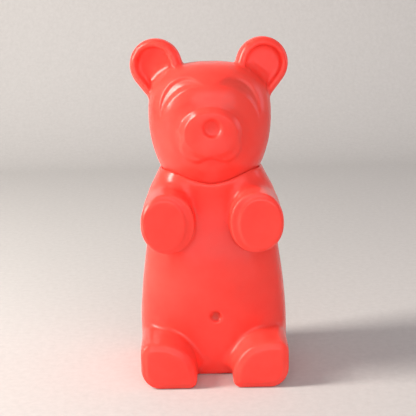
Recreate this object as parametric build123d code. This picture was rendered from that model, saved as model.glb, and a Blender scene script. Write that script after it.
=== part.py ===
from build123d import *
import os
from math import copysign, cos, exp, pi, sin, sqrt

# A hollow cast-vinyl bear in the shape of a gummy candy. Its head swivels on a snap peg in
# the neck. +Z is up, the bear faces -Y, and the origin is on the surface it stands on, under
# the axis of the neck. All sizes are in millimetres.

# ---- driving dimensions -------------------------------------------------------------
HEIGHT = 178.0            # sole of the feet to the tips of the ears
WALL = 2.8                # cast vinyl wall
SEAM_GAP = 0.35           # between the head and the dish in the shoulders that it turns in

# head
HEAD_Z = 137.0            # height of its widest level
HEAD_HALF_WIDTH = 32.6
HEAD_DROP = 46.3          # from there to the pole of its rounded underside
HEAD_RISE = 28.3          # from there to its flat crown
HEAD_HALF_DEPTH = 29.2
CROWN_POWER = 2.7         # superellipse exponent of the crown's profile
SEAM_TOP_Z = 110.6        # above this the head is no longer round about the neck axis

# ears
EAR_X, EAR_Z = 28.0, 163.8
EAR_R = HEIGHT - EAR_Z    # of the back edge of the ear
EAR_THICK = 11.0
EAR_BACK_Y = 6.0
EAR_TURN = 14.0           # degrees that each ear faces outward
EAR_ROOT_X, EAR_ROOT_Z, EAR_ROOT_R = 20.0, 149.5, 11.0
EAR_RIM, EAR_RECESS = 5.2, 4.2        # the recess in its front: width of the rim, and depth
EAR_RECESS_DRAFT = 0.6                # how far the recess narrows on the way in

# face
MUZZLE_Y, MUZZLE_Z = -23.0, 131.0
MUZZLE_HALF_WIDTH, MUZZLE_HALF_HEIGHT, MUZZLE_DEPTH = 16.2, 13.6, 8.4
NOSE_X, NOSE_Z, NOSE_R, NOSE_DEPTH = 1.0, 134.0, 6.0, 1.6   # the dimple is part of a ball

# torso: height, half-width, and how far it reaches in front of and behind the neck axis
TORSO_LEVELS = [
    (24.0, 40.0, 27.8, 26.6),
    (45.0, 38.7, 28.4, 27.0),
    (62.0, 36.5, 27.4, 26.6),
    (80.0, 33.9, 24.8, 25.8),
    (95.0, 32.0, 23.8, 24.8),
    (104.0, 29.8, 24.6, 24.0),
    (112.0, 26.6, 23.8, 22.8),
]
TORSO_FLOOR = (38.6, 26.6, 25.6)   # the same half-width and reaches, at the floor
TORSO_POWER = 2.6                  # superellipse exponent of its level sections
ARM_POWER = 2.1                    # and of the upright sections of the arms
FLOOR_EDGE = 4.0                   # rounding of its lower edge

# arms: distance in front of the neck axis, centre across and up, half-width, half-height
ARM_LEVELS = [
    (43.0, 23.1, 87.4, 12.0, 14.6),
    (42.2, 23.05, 87.4, 12.8, 15.2),
    (40.0, 23.02, 87.32, 13.3, 15.9),
    (34.0, 23.04, 86.9, 13.4, 16.2),
    (24.0, 23.0, 86.0, 13.5, 16.6),
    (8.0, 22.96, 85.4, 13.4, 17.0),
    (-4.0, 22.5, 85.0, 12.6, 14.8),
    (-12.0, 21.6, 84.0, 6.0, 8.0),
]
PAW_FRONT = 44.0                   # of the raised oval pad on the paw
PAW_X, PAW_Z, PAW_HALF_WIDTH, PAW_HALF_HEIGHT = 24.3, 87.3, 10.8, 13.2

# legs: the outline of one foot, as distance out from the middle, height, corner rounding
FOOT_FRONT = 45.6
FOOT_BACK = 6.0
FOOT_EDGE = 2.6           # rounding round the front, and the least there is inside the wall
FOOT_INNER_EDGE = 0.6
FOOT_CORNERS = [
    (9.1, 0.0, 3.8),
    (38.6, 0.0, 9.0),
    (38.6, 24.9, 5.6),
    (9.1, 24.9, 19.0),
]
SOLE_FRONT = 46.4                  # of the raised flat sole
SOLE_INSET = 2.6                   # from the outline of the foot to the edge of the sole
STEP_ROOT = 3.0                    # how deep pads and soles run into what they stand on
PAW_DRAFT = 0.6                    # how far the edge of a pad draws in

# navel
NAVEL_X, NAVEL_Z, NAVEL_R, NAVEL_DEPTH = 0.9, 33.0, 3.2, 1.4

# neck joint
NECK_FLAT_Z = 95.2        # the flat in which the underside of the head ends
SOCKET_R = 11.0           # the bush in the head's opening
SOCKET_BORE_R = 7.6
SOCKET_FLANGE_R = 12.8
SOCKET_FLANGE = 1.6
SHAFT_GAP = 0.08          # running clearance of the peg's shaft in the bush
THRUST_GAP = 0.12         # between the faces of the bush and of the peg
PEG_COLLAR_R = 12.6
PEG_COLLAR = 1.8
PEG_SEAT_R = 10.0         # the peg's barrel in the body's opening
PEG_LIP_R = 11.2
PEG_LIP = 1.3
PEG_BARB_R = 9.0
PEG_TIP_R = 6.6
PEG_BARB = 4.2
PEG_BORE_R = 4.4
PEG_SLOT = 1.6
COLLAR_ROOM = 1.6         # radial room round the collar in the body's recess

# plug in the underside
PLUG_R = 8.0
PLUG_Y = 13.0
PLUG_RECESS = 0.8         # how far the plug's face stands above the surface below
PLUG_LIP_R = 9.2
PLUG_LIP = 1.4

# heights worked out from the above
BODY_FLAT_Z = NECK_FLAT_Z - THRUST_GAP - PEG_COLLAR   # where the peg's collar rests
SOCKET_TOP_Z = NECK_FLAT_Z + WALL + SOCKET_FLANGE


# ---- outlines -----------------------------------------------------------------------
def superellipse(plane, cx, cy, half_x, half_y, power, points=28):
    """A closed smooth superellipse wire in a plane, about a centre in the plane's axes."""
    corners = []
    for i in range(points):
        c, s = cos(2 * pi * i / points), sin(2 * pi * i / points)
        x = cx + half_x * copysign(abs(c) ** (2 / power), c)
        y = cy + half_y * copysign(abs(s) ** (2 / power), s)
        corners.append(plane.from_local_coords(Vector(x, y, 0)))
    return Wire([Edge.make_spline(corners, periodic=True)])


def level(z, half_width, front, back, power=2.0):
    """A superellipse outline at a height, reaching from -front to +back along Y."""
    plane = Plane.XY.offset(z)
    return superellipse(plane, 0, (back - front) / 2, half_width, (front + back) / 2, power)


def upright(y, x, z, half_width, half_height, power=2.0):
    """A superellipse outline facing the front, at a distance y along Y."""
    plane = Plane(origin=(0, y, 0), x_dir=(1, 0, 0), z_dir=(0, -1, 0))
    return superellipse(plane, x, z, half_width, half_height, power)


def head_radius(z, grow=0.0):
    """Radius at a height of the round underside of the head, grown outward by an amount."""
    rise = (HEAD_Z - z) / (HEAD_DROP + grow)
    return (HEAD_HALF_WIDTH + grow) * sqrt(max(0.0, 1 - rise * rise))


# ---- head ---------------------------------------------------------------------------
def head_form(inset):
    """The head without its face or ears, every surface moved inward by inset."""
    levels = []
    # the underside, round about the neck axis so that it can turn in its dish
    low = NECK_FLAT_Z + inset
    for share in (0, 0.12, 0.3, 0.55, 0.8, 1):
        z = low + (SEAM_TOP_Z - low) * share
        radius = head_radius(z, -inset)
        levels.append(level(z, radius, radius, radius))
    # the cheeks: height, half-width and half-depth, as shares of the full sizes
    for share, wide, deep in ((0.15, 0.870, 0.957), (0.36, 0.932, 0.986), (0.68, 0.985, 1.0), (1, 1, 1)):
        z = SEAM_TOP_Z + (HEAD_Z - SEAM_TOP_Z) * share
        deep = (HEAD_HALF_DEPTH - inset) * deep
        levels.append(level(z, (HEAD_HALF_WIDTH - inset) * wide, deep, deep))
    # the crown
    for share in (0.30, 0.55, 0.75, 0.89, 0.97, 0.995):
        z = HEAD_Z + (HEAD_RISE - inset) * share
        narrow = (1 - share ** CROWN_POWER) ** (1 / CROWN_POWER)
        deep = (HEAD_HALF_DEPTH - inset) * narrow
        levels.append(level(z, (HEAD_HALF_WIDTH - inset) * narrow, deep, deep))
    return Solid.make_loft(levels)


def ear_outline(plane, side, inset):
    """The smooth outline round the ear's disc and its root, moved inward by inset."""
    points = []
    count = 32
    for i in range(count):
        angle = 2 * pi * i / count
        nx, nz = cos(angle), sin(angle)
        root_x, root_z = side * (EAR_ROOT_X - EAR_X), EAR_ROOT_Z - EAR_Z
        reach = root_x * nx + root_z * nz + EAR_ROOT_R - EAR_R
        share = 1 / (1 + exp(-reach * 1.2))
        radius = EAR_R + (EAR_ROOT_R - EAR_R) * share - inset
        points.append(plane.from_local_coords(Vector(root_x * share + radius * nx,
                                                     root_z * share + radius * nz, 0)))
    return Wire([Edge.make_spline(points, periodic=True)])


def ear(side):
    """One ear: a flared disc with a root that runs down into the head, recessed in front."""
    facing = Plane(origin=(side * EAR_X, EAR_BACK_Y, EAR_Z), x_dir=(1, 0, 0), z_dir=(0, -1, 0))
    facing = facing.rotated((0, side * EAR_TURN, 0))
    # distance forward from the back of the ear, and how far in the outline has drawn there
    profile = [(0, 3.2), (0.9, 1.1), (2.8, 0), (6.5, 0.9), (9.4, 2.2), (10.6, 3.2), (EAR_THICK, 4.2)]
    body = Solid.make_loft([ear_outline(facing.offset(out), side, inset) for out, inset in profile])
    recess = [(EAR_THICK - EAR_RECESS, EAR_RIM + EAR_RECESS_DRAFT), (EAR_THICK + EAR_RECESS, EAR_RIM)]
    return body - Solid.make_loft([ear_outline(facing.offset(out), side, inset) for out, inset in recess])


def head_shell():
    """The hollow head with its ears, muzzle and nose."""
    outer = head_form(0)
    muzzle = scale(Sphere(1), by=(MUZZLE_HALF_WIDTH, MUZZLE_DEPTH, MUZZLE_HALF_HEIGHT))
    outer += Pos(0, MUZZLE_Y, MUZZLE_Z) * muzzle
    for side in (-1, 1):
        outer += ear(side)
    nose_y = MUZZLE_Y - MUZZLE_DEPTH * sqrt(1 - ((NOSE_Z - MUZZLE_Z) / MUZZLE_HALF_HEIGHT) ** 2)
    outer -= Pos(NOSE_X, nose_y - NOSE_R + NOSE_DEPTH, NOSE_Z) * Sphere(NOSE_R)
    opening = Pos(0, 0, NECK_FLAT_Z) * Cylinder(SOCKET_R, 4 * WALL)
    return outer - head_form(WALL) - opening


# ---- body ---------------------------------------------------------------------------
def dish(grow):
    """What the head turns in: its round underside, grown, above a recess for the collar."""
    steps = 12
    heights = [NECK_FLAT_Z + (HEAD_Z - NECK_FLAT_Z) * i / steps for i in range(steps + 1)]
    curve = Spline(*[(head_radius(z, grow), 0, z) for z in heights])
    top = Line(curve @ 1, (0, 0, HEAD_Z))
    axis = Line((0, 0, HEAD_Z), (0, 0, NECK_FLAT_Z))
    floor = Line((0, 0, NECK_FLAT_Z), curve @ 0)
    bowl = revolve(make_face([curve, top, axis, floor]), Axis.Z)
    low = BODY_FLAT_Z - (grow - SEAM_GAP)
    recess = Cylinder(PEG_COLLAR_R + COLLAR_ROOM + grow - SEAM_GAP, HEAD_Z - low,
                      align=(Align.CENTER, Align.CENTER, Align.MIN))
    # turned so that its seam lies behind, away from the seams of the limbs and torso
    return Rot(0, 0, 90) * (bowl + Pos(0, 0, low) * recess)


def torso(inset):
    """The torso without limbs, every surface moved inward by inset."""
    wide, front, back = TORSO_FLOOR
    levels = []
    for share, draw in ((0, 0.8), (0.25, 0.35), (1, 0)):
        draw = draw * FLOOR_EDGE + inset
        levels.append(level(inset + share * FLOOR_EDGE, wide - draw, front - draw, back - draw,
                            TORSO_POWER))
    for z, wide, front, back in TORSO_LEVELS:
        levels.append(level(z, wide - inset, front - inset, back - inset, TORSO_POWER))
    return Solid.make_loft(levels)


def arm(side, inset):
    """One arm: a stub that points forward and ends in a flat paw."""
    outlines = []
    for front, x, z, half_width, half_height in ARM_LEVELS:
        y = -front + (inset if front > 0 else 0)
        outlines.append(upright(y, side * x, z, half_width - inset, half_height - inset, ARM_POWER))
    return Solid.make_loft(outlines)


def paw_pad(side):
    """The flat oval pad that stands out of a paw."""
    outlines = []
    for y, draw in ((-ARM_LEVELS[0][0] + STEP_ROOT, 0), (-PAW_FRONT, PAW_DRAFT)):
        outlines.append(upright(y, side * PAW_X, PAW_Z, PAW_HALF_WIDTH - draw,
                                PAW_HALF_HEIGHT - draw, ARM_POWER))
    return Solid.make_loft(outlines)


def foot_outline(side, inset):
    """The outline of a foot seen from the front, moved inward by inset."""
    corners = [(side * x, z) for x, z, _ in FOOT_CORNERS]
    outline = make_face(Polyline(*corners, close=True))
    for x, z, rounding in FOOT_CORNERS:
        corner = outline.vertices().sort_by_distance((side * x, z, 0))[0]
        outline = fillet(corner, rounding)
    return offset(outline, -inset) if inset else outline


def leg(side, inset):
    """One leg: it runs forward along the floor and ends in a flat sole."""
    front = Plane(origin=(0, -FOOT_FRONT + inset, 0), x_dir=(1, 0, 0), z_dir=(0, -1, 0))
    block = extrude(front * foot_outline(side, inset), -(FOOT_FRONT - inset - FOOT_BACK))
    return fillet(block.edges().group_by(Axis.Y)[0], max(FOOT_EDGE - inset, FOOT_INNER_EDGE))


def sole(side):
    """The flat sole that stands out of the front of a foot."""
    front = Plane(origin=(0, -SOLE_FRONT, 0), x_dir=(1, 0, 0), z_dir=(0, -1, 0))
    depth = SOLE_FRONT - FOOT_FRONT + STEP_ROOT
    return extrude(front * foot_outline(side, SOLE_INSET), -depth)


def body_form(inset):
    """Torso, arms and legs in one, with the dish for the head, moved inward by inset."""
    form = torso(inset)
    for side in (-1, 1):
        form += arm(side, inset)
        form += leg(side, inset)
    return form - dish(SEAM_GAP + inset)


def body_shell():
    """The hollow body, with its neck opening and the hole in its underside."""
    outer = body_form(0)
    for side in (-1, 1):
        outer += paw_pad(side)
        outer += sole(side)
    outer -= Pos(NAVEL_X, -navel_reach() - NAVEL_R + NAVEL_DEPTH, NAVEL_Z) * Sphere(NAVEL_R)
    neck = Pos(0, 0, BODY_FLAT_Z) * Cylinder(PEG_SEAT_R, 4 * WALL)
    hole = Pos(0, PLUG_Y, 0) * Cylinder(PLUG_R, 4 * WALL)
    return outer - body_form(WALL) - neck - hole


def navel_reach():
    """How far the belly reaches in front of the neck axis at the navel's height."""
    (z0, _, y0, _), (z1, _, y1, _) = TORSO_LEVELS[0], TORSO_LEVELS[1]
    return y0 + (y1 - y0) * (NAVEL_Z - z0) / (z1 - z0)


# ---- neck joint and plug -------------------------------------------------------------
def tube(low, high, radius):
    """A solid cylinder on the neck axis between two heights."""
    return Pos(0, 0, low) * Cylinder(radius, high - low, align=(Align.CENTER, Align.CENTER, Align.MIN))


def neck_socket():
    """The flanged bush pressed into the head's opening."""
    bush = tube(NECK_FLAT_Z, SOCKET_TOP_Z, SOCKET_R)
    bush += tube(NECK_FLAT_Z + WALL, SOCKET_TOP_Z, SOCKET_FLANGE_R)
    return bush - tube(NECK_FLAT_Z - 1, SOCKET_TOP_Z + 1, SOCKET_BORE_R)


def neck_peg():
    """The split snap peg pressed into the body's opening."""
    wall_low = BODY_FLAT_Z - WALL
    collar_top = BODY_FLAT_Z + PEG_COLLAR
    barb_low = SOCKET_TOP_Z + THRUST_GAP
    peg = tube(wall_low - PEG_LIP, collar_top, PEG_SEAT_R)
    peg += tube(wall_low - PEG_LIP, wall_low, PEG_LIP_R)
    peg += tube(BODY_FLAT_Z, collar_top, PEG_COLLAR_R)
    peg += tube(collar_top, barb_low, SOCKET_BORE_R - SHAFT_GAP)
    barb = Cone(PEG_BARB_R, PEG_TIP_R, PEG_BARB, align=(Align.CENTER, Align.CENTER, Align.MIN))
    peg += Pos(0, 0, barb_low) * barb
    peg -= tube(wall_low - PEG_LIP - 1, barb_low + PEG_BARB + 1, PEG_BORE_R)
    slot_height = barb_low + PEG_BARB + 1 - collar_top
    slot = Box(4 * PEG_BARB_R, PEG_SLOT, slot_height, align=(Align.CENTER, Align.CENTER, Align.MIN))
    for turn in (0, 90):
        peg -= Pos(0, 0, collar_top) * Rot(0, 0, turn) * slot
    return peg


def base_plug():
    """The soft disc that closes the underside, held by a lip inside the wall."""
    disc = tube(PLUG_RECESS, WALL + PLUG_LIP, PLUG_R)
    disc += tube(WALL, WALL + PLUG_LIP, PLUG_LIP_R)
    return Pos(0, PLUG_Y, 0) * disc


parts = {
    "head_shell": head_shell(),
    "body_shell": body_shell(),
    "neck_socket": neck_socket(),
    "neck_peg": neck_peg(),
    "base_plug": base_plug(),
}
os.makedirs("parts", exist_ok=True)
for name, shape in parts.items():
    export_step(shape, f"parts/{name}.step")
    print(f"{name}: {shape.volume / 1000:.1f} cm3")
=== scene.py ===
"""Looks of a hollow cast-vinyl bear in the shape of a gummy candy.

The head and the body are modelled as smooth distance fields, turned into quad meshes and laid
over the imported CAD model, whose two shells they stand for. Shapes are worked out in millimetres
of a figure 178 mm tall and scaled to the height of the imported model.
"""
from itertools import product
from math import cos, pi, radians, sin, sqrt

import bpy
import numpy as np
from mathutils import Matrix, Vector


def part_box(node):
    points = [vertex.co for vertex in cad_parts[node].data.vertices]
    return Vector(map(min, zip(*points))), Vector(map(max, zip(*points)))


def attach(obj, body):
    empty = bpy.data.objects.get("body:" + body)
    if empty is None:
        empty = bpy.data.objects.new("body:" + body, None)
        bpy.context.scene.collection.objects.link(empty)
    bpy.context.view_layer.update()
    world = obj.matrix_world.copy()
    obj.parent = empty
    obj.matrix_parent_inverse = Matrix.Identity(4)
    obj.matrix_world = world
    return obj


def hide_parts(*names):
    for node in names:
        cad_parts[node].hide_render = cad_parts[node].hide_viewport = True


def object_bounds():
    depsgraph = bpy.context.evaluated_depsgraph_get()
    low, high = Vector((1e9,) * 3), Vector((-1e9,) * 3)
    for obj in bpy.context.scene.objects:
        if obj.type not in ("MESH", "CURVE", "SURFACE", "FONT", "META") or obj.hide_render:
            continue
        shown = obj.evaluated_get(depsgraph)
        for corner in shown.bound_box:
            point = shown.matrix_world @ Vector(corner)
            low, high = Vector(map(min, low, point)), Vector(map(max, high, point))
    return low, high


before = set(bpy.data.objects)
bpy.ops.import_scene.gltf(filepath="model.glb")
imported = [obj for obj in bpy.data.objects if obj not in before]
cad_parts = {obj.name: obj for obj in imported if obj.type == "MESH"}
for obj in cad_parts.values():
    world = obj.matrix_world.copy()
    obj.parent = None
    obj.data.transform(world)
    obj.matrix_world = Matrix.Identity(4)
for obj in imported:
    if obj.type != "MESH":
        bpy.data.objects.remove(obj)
cad_low, cad_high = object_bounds()

# ---- sizes, in millimetres ------------------------------------------------------------
HEIGHT = 178.0
SCALE = cad_high.z / HEIGHT           # metres in one millimetre of the design
WALL = 2.8
SEAM_GAP = 0.06
HEAD_MESH, BODY_MESH = 0.68, 1.0      # spacing of the meshes

# head
HEAD_Z, HEAD_HALF_WIDTH, HEAD_HALF_DEPTH = 137.0, 32.6, 29.2
HEAD_DROP, HEAD_RISE = 46.3, 28.3
CROWN_POWER = 2.7
SEAM_TOP_Z = 110.6
NECK_FLAT_Z = 95.2
SOCKET_R = 11.0

# ears
EAR_X, EAR_Y, EAR_Z, EAR_R = 28.0, 0.5, 163.9, 13.9
EAR_ROOT = (-8.0, -14.3)              # from the ear's centre, across and up
EAR_ROOT_R = 11.0
EAR_THICK, EAR_ROUND = 10.4, 4.2
EAR_RIM, EAR_DEPTH = 4.4, 4.0         # width of the rim round the recess, depth of the recess
EAR_TURN = radians(14)

# face: where each feature lies, its half-axes or radius, and how far it stands out or is sunk
MUZZLE_Z, MUZZLE_HALF_WIDTH, MUZZLE_HALF_HEIGHT, MUZZLE_STEP = 131.0, 15.2, 12.7, 2.3
LIP_X, LIP_Z, LIP_R, LIP_STEP = 7.4, 124.4, 8.6, 1.1
NOSE_X, NOSE_Z, NOSE_R, NOSE_DEPTH = 1.0, 134.0, 5.6, 1.7
BROW_X, BROW_Z, BROW_HALF_WIDTH, BROW_HALF_HEIGHT = 12.1, 141.8, 13.95, 17.7
CHEEK_X, CHEEK_Z, CHEEK_R = 2.55, 131.5, 23.5     # the circle that bounds the brow below
BROW_DEPTH = 0.19                     # of the hollow, as a share of its width

# neck and underside of the body
RIM_EDGE = 2.6                        # rounding of the rim that the head turns in
COLLAR_FLAT_Z, COLLAR_R = 93.28, 14.2
PEG_SEAT_R = 10.0
PLUG_R, PLUG_Y = 8.0, 13.0

# torso: height, half-width, reach in front of and behind the neck axis
TORSO_POWER, FLOOR_EDGE = 2.6, 1.8
NAVEL_X, NAVEL_Z, NAVEL_R, NAVEL_DEPTH = 0.9, 33.0, 3.8, 1.9
TORSO = [
    (0, 39.2, 27.0, 25.8),
    (24, 40.1, 27.8, 26.6),
    (45, 38.7, 28.4, 27.0),
    (62, 36.5, 27.4, 26.6),
    (80, 33.9, 24.8, 25.8),
    (95, 32.6, 23.8, 24.8),
    (104, 30.0, 24.6, 24.0),
    (112, 26.2, 23.8, 22.8),
]

BACK_EDGE = 6                         # rounding of the back ends of the limbs, inside the torso
PAD_ROOT_Y, SOLE_ROOT_Y = -34, -40    # where pads and soles end inside the limbs

# arms: distance in front of the neck axis, middle across and up, half-width, reach up and down
PAW_FRONT, PAW_STEP = 44.0, 1.0
PAW_X, PAW_Z, PAW_HALF_WIDTH, PAW_HALF_HEIGHT = 24.3, 87.1, 10.9, 13.4
PAW_EDGE, PAD_EDGE = 1.0, 0.9         # rounding of the paw's front edge; of the pad's and the sole's
ARM_POWER, ARM_BACK = 2.1, 10
ARM = [
    (43, 22.6, 87.4, 13.4, 15.6, 15.2),
    (40, 22.7, 86.8, 13.6, 16.2, 15.2),
    (34, 22.9, 85.7, 13.6, 17.2, 14.7),
    (24, 23.1, 83.8, 13.7, 19.0, 14.2),
    (8, 23.3, 82.4, 13.6, 20.9, 13.8),
    (-4, 22.5, 82.0, 12.6, 18.0, 11.5),
    (-14, 21.0, 82.0, 6.0, 10.0, 6.0),
]

# legs: distance in front of the neck axis, inner side, outer side, top
FOOT_FRONT, SOLE_STEP = 46.4, 0.8
KNEE_R = 19.0                         # the big round corner on the inner side of the leg
FOOT_INNER_R, FOOT_LOW_R, FOOT_TOP_R = 4.0, 10.0, 6.0   # its other corners: inner, outer low, top
SOLE_EDGE = 2.6                       # from the foot's outline to the flat of the sole
LEG_BACK = -2
LEG = [
    (46, 9.6, 38.2, 24.6),
    (40, 9.3, 38.6, 24.8),
    (30, 9.0, 38.7, 25.0),
    (0, 9.0, 38.0, 25.2),
]


# ---- distance fields ------------------------------------------------------------------
def length(*parts):
    """The length of a vector given by its parts."""
    return np.sqrt(sum(part * part for part in parts))


def smooth(t):
    """A smooth step from 0 to 1 as t goes from 0 to 1."""
    t = np.clip(t, 0, 1)
    return t * t * (3 - 2 * t)


def join(a, b, radius):
    """Union of two fields with a fillet."""
    h = np.maximum(radius - np.abs(a - b), 0) / radius
    return np.minimum(a, b) - h * h * radius / 4


def meet(a, b, radius):
    """Intersection of two fields with a rounded edge."""
    return -join(-a, -b, radius)


def along(t, rows):
    """The columns of rows after the first, read smoothly at t of the first column."""
    rows = np.array(rows, float)
    rows = rows[np.argsort(rows[:, 0])]
    x, values = rows[:, 0], rows[:, 1:]
    slopes = np.gradient(values, x, axis=0)
    t = np.clip(t, x[0], x[-1])
    i = np.clip(np.searchsorted(x, t) - 1, 0, len(x) - 2)
    step = x[i + 1] - x[i]
    s = (t - x[i]) / step
    columns = []
    for c in range(values.shape[1]):
        v0, v1 = values[i, c], values[i + 1, c]
        m0, m1 = slopes[i, c] * step, slopes[i + 1, c] * step
        columns.append((2 * s**3 - 3 * s**2 + 1) * v0 + (s**3 - 2 * s**2 + s) * m0
                       + (3 * s**2 - 2 * s**3) * v1 + (s**3 - s**2) * m1)
    return columns


def oval(u, v, a, b, power):
    """Distance to a superellipse with half-axes a and b."""
    pu, pv = np.abs(u / a) + 1e-6, np.abs(v / b) + 1e-6
    k = (pu**power + pv**power) ** (1 / power)
    slope = k ** (1 - power) * length(pu ** (power - 1) / a, pv ** (power - 1) / b)
    return (k - 1) / np.maximum(slope, 0.3 / np.maximum(a, b))


def rounded_box(u, v, half_u, half_v, radius):
    """Distance to a rectangle whose corner radius is given at each point."""
    du, dv = np.abs(u) - half_u + radius, np.abs(v) - half_v + radius
    return np.minimum(np.maximum(du, dv), 0) + length(np.maximum(du, 0), np.maximum(dv, 0)) - radius


def underside(x, y, z, grow=0.0):
    """The head's round underside, an ellipsoid about the neck axis."""
    r = length(x, y)
    a, c = HEAD_HALF_WIDTH + grow, HEAD_DROP + grow
    return oval(r, z - HEAD_Z, a, c, 2)


def head_block(x, y, z):
    """The head without ears or face."""
    up = z > HEAD_Z
    rise = np.abs(z - HEAD_Z) / np.where(up, HEAD_RISE, HEAD_DROP) + 1e-6
    deep = HEAD_HALF_WIDTH - (HEAD_HALF_WIDTH - HEAD_HALF_DEPTH) * smooth((z - SEAM_TOP_Z) / 22)
    u = length(x / HEAD_HALF_WIDTH, y / deep) + 1e-6
    power = np.where(up, CROWN_POWER, 2.0)
    k = (u**power + rise**power) ** (1 / power)
    slope_u = length(x / HEAD_HALF_WIDTH**2, y / deep**2) / u
    slope_z = 1 / np.where(up, HEAD_RISE, HEAD_DROP)
    slope = k ** (1 - power) * length(u ** (power - 1) * slope_u, rise ** (power - 1) * slope_z)
    return (k - 1) / np.maximum(slope, 0.01)


def ear(x, y, z):
    """Both ears: a rounded disc with a root, recessed in front; and the way out of the recess."""
    across = (np.abs(x) - EAR_X) * cos(EAR_TURN) + (y - EAR_Y) * sin(EAR_TURN)
    out = (np.abs(x) - EAR_X) * sin(EAR_TURN) - (y - EAR_Y) * cos(EAR_TURN)
    up = z - EAR_Z
    # the outline: the hull of two circles
    reach = sqrt(EAR_ROOT[0] ** 2 + EAR_ROOT[1] ** 2)
    du, dz = EAR_ROOT[0] / reach, EAR_ROOT[1] / reach
    run = across * du + up * dz
    off = np.abs(across * dz - up * du)
    b = (EAR_R - EAR_ROOT_R) / reach
    a = sqrt(1 - b * b)
    k = run * a - off * b
    outline = np.where(k < 0, length(run, off) - EAR_R,
                       np.where(k > a * reach, length(run - reach, off) - EAR_ROOT_R,
                                off * a + run * b - EAR_R))
    du, dw = outline + EAR_ROUND, np.abs(out) - EAR_THICK / 2 + EAR_ROUND
    disc = np.minimum(np.maximum(du, dw), 0) + length(np.maximum(du, 0), np.maximum(dw, 0)) - EAR_ROUND
    # the recess in front, inside a rim of even width
    wall = outline + EAR_RIM
    recess = meet(wall, EAR_THICK / 2 - EAR_DEPTH - out, 2.0)
    return meet(disc, -recess, 2.4), wall


def face(x, y, z):
    """How far the face's relief stands out of the plain head: less than 0 where it is sunk."""
    ax = np.abs(x)
    # the muzzle, a raised oval with a shallow dip round it
    edge = oval(x, z - MUZZLE_Z, MUZZLE_HALF_WIDTH, MUZZLE_HALF_HEIGHT, 2)
    muzzle = np.clip((0.9 - edge) / 2.7, 0, 1)
    dip = -0.4 * np.exp(-((edge - 3.6) / 2.4) ** 2)
    # the lip: two round lobes showing below the muzzle
    lobe = length(ax - LIP_X, z - LIP_Z) - LIP_R
    lip = LIP_STEP * smooth((0.5 - lobe) / 2.2) - 0.3 * smooth((-2.2 - lobe) / 2.0)
    # the nose, a round dimple with a small second step in its floor
    r = length(x - NOSE_X, z - NOSE_Z)
    nose = -NOSE_DEPTH * smooth((NOSE_R - r) / 2.3) - 0.3 * smooth((2.7 - r) / 1.2)
    # the brows: crescent hollows between an oval and a circle, steeper towards the circle
    outer = -oval(ax - BROW_X, z - BROW_Z, BROW_HALF_WIDTH, BROW_HALF_HEIGHT, 2)
    inner = length(ax - CHEEK_X, z - CHEEK_Z) - CHEEK_R
    width = outer + inner
    across = np.clip(outer / np.maximum(width, 0.01), 0, 1)
    valley = smooth(across / 0.40) * np.clip((1 - across) / 0.30, 0, 1)
    brow = -BROW_DEPTH * np.maximum(width, 0) * valley * (inner > 0)
    front = smooth((-y - 6) / 8)
    return (MUZZLE_STEP * muzzle + (lip + dip) * (1 - muzzle) + nose + brow) * front


def head(x, y, z):
    """The head with its ears and face."""
    block = head_block(x, y, z) - face(x, y, z)
    ears, wall = ear(x, y, z)
    form = join(block, ears, 1.6 + 3.6 * smooth(-wall / 3))
    return meet(form, NECK_FLAT_Z - z, 0.6)


def head_hollow(x, y, z):
    """The space inside the head, open at the neck."""
    block = head_block(x, y, z) + WALL
    inside = meet(block, NECK_FLAT_Z + WALL - z, 1.0)
    return np.minimum(inside, np.maximum(length(x, y) - SOCKET_R, z - HEAD_Z))


def torso(x, y, z):
    """The torso without limbs."""
    half_width, front, back = along(z, TORSO)
    middle, half = (back - front) / 2, (back + front) / 2
    side = oval(x, y - middle, half_width, half, TORSO_POWER)
    return meet(side, -z, FLOOR_EDGE)


def arm(x, y, z):
    """Both arms, each with a raised flat pad on the paw."""
    ax = np.abs(x)
    middle_x, middle_z, half_width, up, down = along(-y, ARM)
    reach = np.where(z > middle_z, up, down)
    side = oval(ax - middle_x, z - middle_z, half_width, reach, ARM_POWER)
    stub = meet(side, PAW_STEP - PAW_FRONT - y, PAW_EDGE)
    stub = meet(stub, y - ARM_BACK, BACK_EDGE)
    pad = oval(ax - PAW_X, z - PAW_Z, PAW_HALF_WIDTH, PAW_HALF_HEIGHT, ARM_POWER)
    pad = meet(np.maximum(pad, y - PAD_ROOT_Y), -PAW_FRONT - y, PAD_EDGE)
    return join(stub, pad, PAD_EDGE)


def leg(x, y, z):
    """Both legs, each with a raised flat sole."""
    ax = np.abs(x)
    inner, outer, top = along(-y, LEG)
    u, v = ax - (inner + outer) / 2, z - top / 2
    radius = np.where(u > 0, np.where(v > 0, FOOT_TOP_R, FOOT_LOW_R), FOOT_INNER_R)
    side = rounded_box(u, v, (outer - inner) / 2, top / 2, radius)
    turn_x, turn_z = ax - inner - KNEE_R, z - top + KNEE_R
    knee = np.where((turn_x < 0) & (turn_z > 0), length(turn_x, turn_z) - KNEE_R, side)
    side = np.maximum(side, knee)
    block = meet(side, SOLE_STEP - FOOT_FRONT - y, 1.2 + 1.8 * smooth(z / 8))
    block = meet(block, y - LEG_BACK, BACK_EDGE)
    sole = meet(np.maximum(side + SOLE_EDGE, y - SOLE_ROOT_Y), -FOOT_FRONT - y, PAD_EDGE)
    return join(block, sole, PAD_EDGE)


def navel(x, y, z):
    """How deep the navel is sunk into the belly."""
    r = length(x - NAVEL_X, z - NAVEL_Z)
    return NAVEL_DEPTH * smooth((NAVEL_R - r) / 2.4) * smooth((-y - 10) / 8)


def limbs(x, y, z, dent=0.0):
    """The torso with its arms and legs."""
    form = join(torso(x, y, z) + dent, arm(x, y, z), 2.2 + 3.6 * smooth((z - 90) / 12))
    return join(form, leg(x, y, z), 2.4 + 5.0 * smooth((18 - z) / 12) * smooth((z - 1) / 6))


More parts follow.
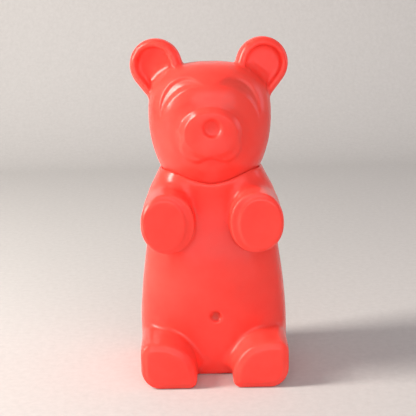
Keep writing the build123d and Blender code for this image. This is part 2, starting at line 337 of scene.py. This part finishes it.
def body(x, y, z):
    """Torso and limbs, with the navel and the dish and recess that the head turns in."""
    form = np.maximum(limbs(x, y, z, navel(x, y, z)), -z)
    bowl = np.maximum(underside(x, y, z, SEAM_GAP), NECK_FLAT_Z - z)
    form = meet(form, -bowl, RIM_EDGE)
    recess = np.maximum(length(x, y) - COLLAR_R, COLLAR_FLAT_Z - z)
    return np.maximum(form, -recess)


def body_hollow(x, y, z):
    """The space inside the body, open at the neck and at the hole in the underside."""
    inside = np.maximum(limbs(x, y, z), -z) + WALL
    inside = np.maximum(inside, -(underside(x, y, z, SEAM_GAP + WALL)))
    inside = np.maximum(inside, z - COLLAR_FLAT_Z + WALL)
    neck = np.maximum(length(x, y) - PEG_SEAT_R, 60 - z)
    hole = np.maximum(length(x, y - PLUG_Y) - PLUG_R, z - 20)
    return np.minimum(np.minimum(inside, neck), hole)


def shell(solid, hollow):
    """The field of a solid with a hollow in it."""
    return lambda x, y, z: np.maximum(solid(x, y, z), -hollow(x, y, z))


# ---- from field to mesh ---------------------------------------------------------------
def surface_net(field, low, high, step):
    """Vertices and quads of the surface where a field is 0, by naive surface nets."""
    axes = [np.arange(low[i] - 1.5 * step, high[i] + 2 * step, step) for i in range(3)]
    grid = field(axes[0][:, None, None], axes[1][None, :, None], axes[2][None, None, :])
    inside = grid < 0
    cells = tuple(n - 1 for n in grid.shape)
    total = np.zeros(cells, np.int8)
    for i, j, k in product((0, 1), repeat=3):
        total += inside[i:i + cells[0], j:j + cells[1], k:k + cells[2]]
    active = np.argwhere((total > 0) & (total < 8))
    number = np.full(cells, -1)
    number[tuple(active.T)] = np.arange(len(active))

    # a vertex in each cell that the surface crosses: the mean of its edge crossings
    place, count = np.zeros((len(active), 3)), np.zeros(len(active))
    for axis in range(3):
        others = [a for a in range(3) if a != axis]
        for corner in product((0, 1), repeat=2):
            start = active.copy()
            start[:, others] += corner
            end = start.copy()
            end[:, axis] += 1
            va, vb = grid[tuple(start.T)], grid[tuple(end.T)]
            crossed = (va < 0) != (vb < 0)
            part = np.where(crossed, va / np.where(crossed, va - vb, 1), 0)
            point = (start - active).astype(float)
            point[:, axis] += part
            place += point * crossed[:, None]
            count += crossed
    places = (active + place / count[:, None]) * step + np.array([a[0] for a in axes])

    # a quad round each grid edge that the surface crosses
    quads = []
    for axis in range(3):
        u, v = (axis + 1) % 3, (axis + 2) % 3
        first = [slice(1, -1)] * 3
        second = [slice(1, -1)] * 3
        first[axis], second[axis] = slice(0, -1), slice(1, None)
        a, b = inside[tuple(first)], inside[tuple(second)]
        at = np.argwhere(a != b)
        outward = a[tuple(at.T)]
        offset = np.ones(3, int)
        offset[axis] = 0
        at = at + offset
        ring = []
        for du, dv in ((0, 0), (-1, 0), (-1, -1), (0, -1)):
            cell = at.copy()
            cell[:, u] += du
            cell[:, v] += dv
            ring.append(number[tuple(cell.T)])
        ring = np.stack(ring, 1)
        ring[~outward] = ring[~outward][:, ::-1]
        quads.append(ring)
    return places, np.concatenate(quads)


def settle(places, quads, field, step, rounds=3):
    """Evens out the quads, then moves every vertex onto the surface where the field is 0."""
    edges = np.concatenate([quads[:, [i, (i + 1) % 4]] for i in range(4)])
    degree = np.bincount(edges.ravel(), minlength=len(places))[:, None]

    def onto(p):
        h = 0.02
        x, y, z = p.T
        value = field(x, y, z)
        slope = np.stack([field(x + h, y, z) - field(x - h, y, z),
                          field(x, y + h, z) - field(x, y - h, z),
                          field(x, y, z + h) - field(x, y, z - h)], 1) / (2 * h)
        size = np.maximum((slope**2).sum(1), 0.1)
        move = slope * (value / size)[:, None]
        far = np.maximum(np.linalg.norm(move, axis=1) / (0.5 * step), 1)[:, None]
        return p - move / far

    for _ in range(rounds):
        total = np.zeros_like(places)
        for a, b in ((0, 1), (1, 0)):
            for axis in range(3):
                total[:, axis] += np.bincount(edges[:, a], places[edges[:, b], axis], len(places))
        places = onto(places + 0.5 * (total / degree - places))
    for _ in range(3):
        places = onto(places)
    return places


def build(name, field, low, high, step):
    """A smooth mesh object of a field, in metres."""
    places, quads = surface_net(field, low, high, step)
    places = settle(places, quads, field, step)
    mesh = bpy.data.meshes.new(name)
    mesh.from_pydata((places * SCALE).tolist(), [], quads.tolist())
    mesh.polygons.foreach_set("use_smooth", np.ones(len(mesh.polygons), bool))
    mesh.validate()
    mesh.update()
    piece = bpy.data.objects.new(name, mesh)
    bpy.context.scene.collection.objects.link(piece)
    print(name, len(mesh.polygons), "quads")
    return piece


def corners(node):
    """A CAD node's box in millimetres of the design."""
    low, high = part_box(node)
    return np.array(low) / SCALE, np.array(high) / SCALE


coarse = 1.0
head_piece = build("bear_head", shell(head, head_hollow), *corners("head_shell"), HEAD_MESH * coarse)
body_piece = build("bear_body", shell(body, body_hollow), *corners("body_shell"), BODY_MESH * coarse)


# ---- materials ------------------------------------------------------------------------
def new_material(name):
    material = bpy.data.materials.new(name)
    material.use_nodes = True
    return material, material.node_tree, material.node_tree.nodes["Principled BSDF"]


def add(tree, kind, **inputs):
    node = tree.nodes.new(kind)
    for key, value in inputs.items():
        node.inputs[key.replace("_", " ")].default_value = value
    return node


def ramp(tree, low, high, start=0.3, end=0.7):
    node = tree.nodes.new("ShaderNodeValToRGB")
    node.color_ramp.elements[0].position, node.color_ramp.elements[1].position = start, end
    node.color_ramp.elements[0].color, node.color_ramp.elements[1].color = low, high
    return node


def vinyl():
    """Satin translucent red vinyl."""
    material, tree, shader = new_material("red_vinyl")
    link = tree.links.new
    where = tree.nodes.new("ShaderNodeTexCoord").outputs["Object"]
    cloud = add(tree, "ShaderNodeTexNoise", Scale=38.0, Detail=4.0, Roughness=0.55)
    tone = ramp(tree, (0.92, 0.055, 0.040, 1), (0.97, 0.074, 0.055, 1))
    link(where, cloud.inputs["Vector"])
    link(cloud.outputs["Fac"], tone.inputs["Fac"])
    link(tone.outputs["Color"], shader.inputs["Base Color"])
    # handling marks: patches a little glossier or duller
    marks = add(tree, "ShaderNodeTexNoise", Scale=110.0, Detail=5.0, Roughness=0.6)
    gloss = ramp(tree, (0.20, 0.20, 0.20, 1), (0.25, 0.25, 0.25, 1))
    link(where, marks.inputs["Vector"])
    link(marks.outputs["Fac"], gloss.inputs["Fac"])
    link(gloss.outputs["Color"], shader.inputs["Roughness"])
    shader.subsurface_method = "RANDOM_WALK"
    shader.inputs["Subsurface Weight"].default_value = 1.0
    shader.inputs["Subsurface Radius"].default_value = (1.0, 0.25, 0.2)
    shader.inputs["Subsurface Scale"].default_value = 0.005
    shader.inputs["IOR"].default_value = 1.45
    shader.inputs["Specular IOR Level"].default_value = 0.32
    return material


def plastic():
    """Natural moulded plastic."""
    material, tree, shader = new_material("joint_plastic")
    where = tree.nodes.new("ShaderNodeTexCoord").outputs["Object"]
    grain = add(tree, "ShaderNodeTexNoise", Scale=900.0, Detail=2.0)
    tone = ramp(tree, (0.70, 0.67, 0.61, 1), (0.80, 0.77, 0.71, 1))
    tree.links.new(where, grain.inputs["Vector"])
    tree.links.new(grain.outputs["Fac"], tone.inputs["Fac"])
    tree.links.new(tone.outputs["Color"], shader.inputs["Base Color"])
    shader.inputs["Roughness"].default_value = 0.35
    return material


def paper():
    """Pale matt background paper."""
    material, tree, shader = new_material("pale_paper")
    where = tree.nodes.new("ShaderNodeTexCoord").outputs["Object"]
    fibre = add(tree, "ShaderNodeTexNoise", Scale=260.0, Detail=6.0, Roughness=0.7)
    tone = ramp(tree, (0.50, 0.49, 0.48, 1), (0.56, 0.55, 0.54, 1))
    tree.links.new(where, fibre.inputs["Vector"])
    tree.links.new(fibre.outputs["Fac"], tone.inputs["Fac"])
    tree.links.new(tone.outputs["Color"], shader.inputs["Base Color"])
    shader.inputs["Roughness"].default_value = 0.9
    return material


red = vinyl()
white = plastic()
for piece, node, moving, slot in ((head_piece, "head_shell", "head", "head_vinyl"),
                                  (body_piece, "body_shell", "body", "body_vinyl")):
    piece.data.materials.append(red)
    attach(piece, moving)
    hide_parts(node)
for node in ("neck_socket", "neck_peg"):
    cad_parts[node].data.materials.clear()
    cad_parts[node].data.materials.append(white)
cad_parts["base_plug"].data.materials.clear()
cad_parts["base_plug"].data.materials.append(red)


# ---- floor, light and camera ----------------------------------------------------------
def floor():
    mesh = bpy.data.meshes.new("floor")
    half = 12 * cad_high.z
    back = 3.2 * cad_high.z
    bend, steps = 1.2 * cad_high.z, 16
    line = [(-half, 0.0), (back, 0.0)]
    for i in range(1, steps + 1):
        a = pi / 2 * i / steps
        line.append((back + bend * sin(a), bend * (1 - cos(a))))
    line.append((back + bend, half))
    places = [(side * half, y, z) for y, z in line for side in (-1, 1)]
    faces = [(2 * i, 2 * i + 1, 2 * i + 3, 2 * i + 2) for i in range(len(line) - 1)]
    mesh.from_pydata(places, [], faces)
    mesh.polygons.foreach_set("use_smooth", np.ones(len(faces), bool))
    stage = bpy.data.objects.new("floor", mesh)
    stage.location.z = -0.1 * SCALE       # clear of the flat underside that stands on it
    bpy.context.scene.collection.objects.link(stage)
    mesh.materials.append(paper())


def lamp(name, place, aim, power, wide, tall, colour):
    data = bpy.data.lights.new(name, "AREA")
    data.shape = "RECTANGLE"
    data.energy, data.size, data.size_y, data.color = power, wide, tall, colour
    lamp_object = bpy.data.objects.new(name, data)
    lamp_object.location = place
    lamp_object.rotation_mode = "QUATERNION"
    lamp_object.rotation_quaternion = (Vector(aim) - Vector(place)).to_track_quat("-Z", "Y")
    bpy.context.scene.collection.objects.link(lamp_object)


def light():
    """A tall softbox on the left, a big soft one in front, a faint pinkish one on the right."""
    middle = (0, 0, cad_high.z / 2)
    h = cad_high.z
    lamp("key", (-4.1 * h, -0.8 * h, 2.7 * h), middle, 13.5, 1.1 * h, 3.6 * h, (1, 0.93, 0.86))
    lamp("rim", (3.9 * h, 1.2 * h, 1.6 * h), middle, 0.5, 1.2 * h, 2.4 * h, (1, 0.76, 0.92))
    lamp("front", (1.0 * h, -6.6 * h, 2.6 * h), middle, 11.5, 9.0 * h, 6.0 * h, (1, 0.95, 0.95))
    world = bpy.data.worlds.new("studio")
    world.use_nodes = True
    world.node_tree.nodes["Background"].inputs["Color"].default_value = (1, 1, 1, 1)
    world.node_tree.nodes["Background"].inputs["Strength"].default_value = 0.36
    bpy.context.scene.world = world


def camera():
    """An 85 mm lens looking a little down at the front of the figure."""
    pitch, roll, distance = radians(13), radians(-1.17), 536 * SCALE
    target = Vector((-2.0, 0, 85.9)) * SCALE
    data = bpy.data.cameras.new("camera")
    data.lens, data.sensor_width = 85, 36
    cam = bpy.data.objects.new("camera", data)
    forward = Vector((0, cos(pitch), -sin(pitch)))
    right = Vector((1, 0, 0))
    up = right.cross(forward)
    tilted_right = right * cos(roll) + up * sin(roll)
    tilted_up = up * cos(roll) - right * sin(roll)
    turn = Matrix((tilted_right, tilted_up, -forward)).transposed().to_4x4()
    cam.matrix_world = Matrix.Translation(target - forward * distance) @ turn
    bpy.context.scene.collection.objects.link(cam)
    bpy.context.scene.camera = cam


floor()
light()
camera()
bpy.context.scene.view_settings.view_transform = "Standard"
